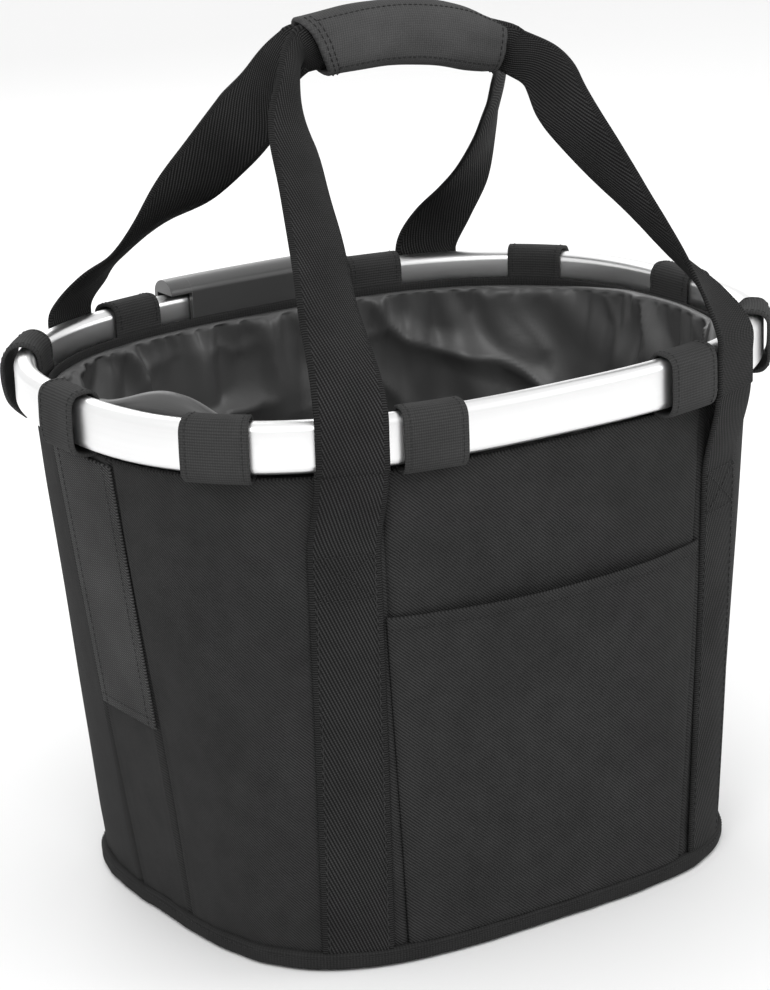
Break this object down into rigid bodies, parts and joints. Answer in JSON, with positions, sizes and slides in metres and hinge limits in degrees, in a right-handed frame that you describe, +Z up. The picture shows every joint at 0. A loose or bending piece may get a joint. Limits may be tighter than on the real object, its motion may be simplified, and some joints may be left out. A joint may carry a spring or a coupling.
{
  "type": "handlebar basket",
  "caption": "Soft tapered bag hung from an oval aluminium rim tube, with two webbing handles joined by a padded grip, a front slip pocket and a quick-release bracket behind.",
  "frame": {"origin": "centre of the flat underside of the base, on the surface it stands on", "axes": "+Z up out of the basket's mouth, +X along the basket's long axis to the right as seen from the pocket side, -Y towards the pocket side, +Y towards the handlebar bracket"},
  "size_m": [0.3586, 0.2901, 0.4102],
  "materials": {
    "shell_fabric": "matte diagonal twill",
    "webbing": "matte woven webbing",
    "loop_webbing": "matte ribbed tape",
    "lining_fabric": "thin nylon with a soft sheen",
    "aluminium": "satin anodised",
    "bracket_plastic": "satin moulded",
    "board": "matte sheet",
    "steel": "satin zinc"
  },
  "bodies": {
    "bag": {"bottom_panel": "shell_fabric", "base_board": "board", "base_binding": "webbing", "front_panel": "shell_fabric", "rear_panel": "shell_fabric", "front_left_panel": "shell_fabric", "front_right_panel": "shell_fabric", "rear_left_panel": "shell_fabric", "rear_right_panel": "shell_fabric", "left_end_panel": "shell_fabric", "right_end_panel": "shell_fabric", "lining": "lining_fabric", "front_pocket": "shell_fabric", "front_left_strap": "webbing", "front_right_strap": "webbing", "rear_left_strap": "webbing", "rear_right_strap": "webbing", "left_end_strip": "webbing", "right_end_strip": "webbing"},
    "rim": {"rim_tube": "aluminium", "rim_joint_sleeve": "aluminium", "left_end_loop": "loop_webbing", "right_end_loop": "loop_webbing", "front_left_loop": "loop_webbing", "front_right_loop": "loop_webbing", "rear_left_loop": "loop_webbing", "rear_right_loop": "loop_webbing", "front_left_corner_loop": "loop_webbing", "front_right_corner_loop": "loop_webbing", "rear_left_corner_loop": "loop_webbing", "rear_right_corner_loop": "loop_webbing", "bracket_cover": "bracket_plastic", "bracket_back_plate": "bracket_plastic", "bracket_inner_plate": "bracket_plastic", "bracket_screw_upper_left": "steel", "bracket_screw_upper_right": "steel", "bracket_screw_lower_left": "steel", "bracket_screw_lower_right": "steel", "button_spring": "steel"},
    "release_button": {"release_button": "bracket_plastic"},
    "latch": {"latch": "bracket_plastic"},
    "front_handle": {"front_handle": "webbing", "grip_wrap": "shell_fabric"},
    "rear_handle": {"rear_handle": "webbing"},
    "grip_flap": {"grip_flap": "shell_fabric"}
  },
  "joints": [
    {"name": "body_collapse", "type": "slide", "parent": "bag", "child": "rim", "axis": [0, 0, 1], "range_m": [-0.125, 0], "deforming": ["front_panel", "rear_panel", "front_left_panel", "front_right_panel", "rear_left_panel", "rear_right_panel", "left_end_panel", "right_end_panel", "lining", "front_pocket", "front_left_strap", "front_right_strap", "rear_left_strap", "rear_right_strap", "left_end_strip", "right_end_strip"]},
    {"name": "front_handle_swing", "type": "hinge", "parent": "rim", "child": "front_handle", "pos_m": [0, -0.1297, 0.2613], "axis": [1, 0, 0], "range_deg": [0, 190], "deforming": ["grip_flap"]},
    {"name": "rear_handle_swing", "type": "hinge", "parent": "rim", "child": "rear_handle", "pos_m": [0, 0.1297, 0.2613], "axis": [-1, 0, 0], "range_deg": [0, 190], "deforming": ["grip_flap"]},
    {"name": "grip_flap_hinge", "type": "hinge", "parent": "front_handle", "child": "grip_flap", "pos_m": [0.01, 0.002, 0.4095], "axis": [1, 0, 0], "range_deg": [0, 120]},
    {"name": "release_button_press", "type": "slide", "parent": "rim", "child": "release_button", "axis": [0, 0, -1], "range_m": [0, 0.005], "stiffness_N_per_m": 400, "springref_m": -0.004, "deforming": ["button_spring"]},
    {"name": "latch_slide", "type": "slide", "parent": "rim", "child": "latch", "axis": [0, -1, 0], "range_m": [0, 0.004]}
  ],
  "couplings": [
    {"joint": "latch_slide", "follows": "release_button_press", "ratio": 0.8}
  ]
}
